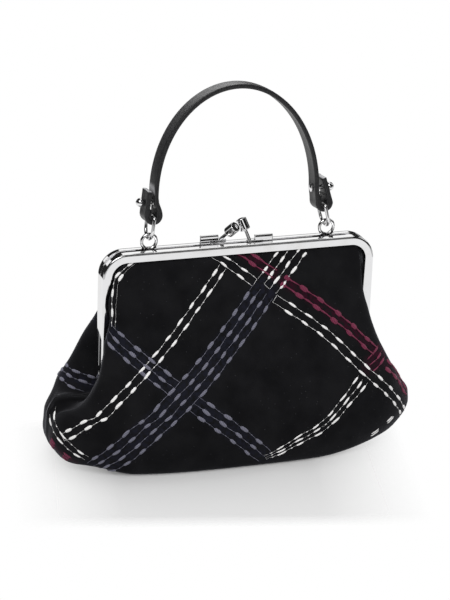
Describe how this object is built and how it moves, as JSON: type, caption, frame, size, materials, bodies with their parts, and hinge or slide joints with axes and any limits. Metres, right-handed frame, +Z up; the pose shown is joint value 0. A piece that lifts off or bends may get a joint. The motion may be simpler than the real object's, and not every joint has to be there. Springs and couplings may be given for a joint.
{
  "type": "snap-frame handbag",
  "caption": "Small soft handbag of black velvet with stitched plaid lines, a polished snap frame with a ball clasp, and an arched leather strap handle on links.",
  "frame": {"origin": "middle of the bag's bounding box on the surface that it stands on", "axes": "+X across the bag to the right of someone who looks at its front, -Y out of the front panel, +Z up to the handle"},
  "size_m": [0.244, 0.096, 0.2373],
  "materials": {
    "velvet": "short-pile black velvet with a soft sheen",
    "chrome": "polished plated steel",
    "leather": "fine-grained black leather, semi-matt",
    "thread_white": "twisted white thread",
    "thread_slate": "twisted slate-violet thread",
    "thread_crimson": "twisted crimson thread"
  },
  "bodies": {
    "root": {"front_panel": "velvet", "back_panel": "velvet", "frame_front": "chrome", "frame_back": "chrome", "hinge_rivet_left": "chrome", "hinge_rivet_right": "chrome", "clasp_left": "chrome", "clasp_right": "chrome", "handle_strap": "leather", "stud_left": "chrome", "stud_right": "chrome", "link_left": "chrome", "link_right": "chrome"}
  },
  "joints": []
}
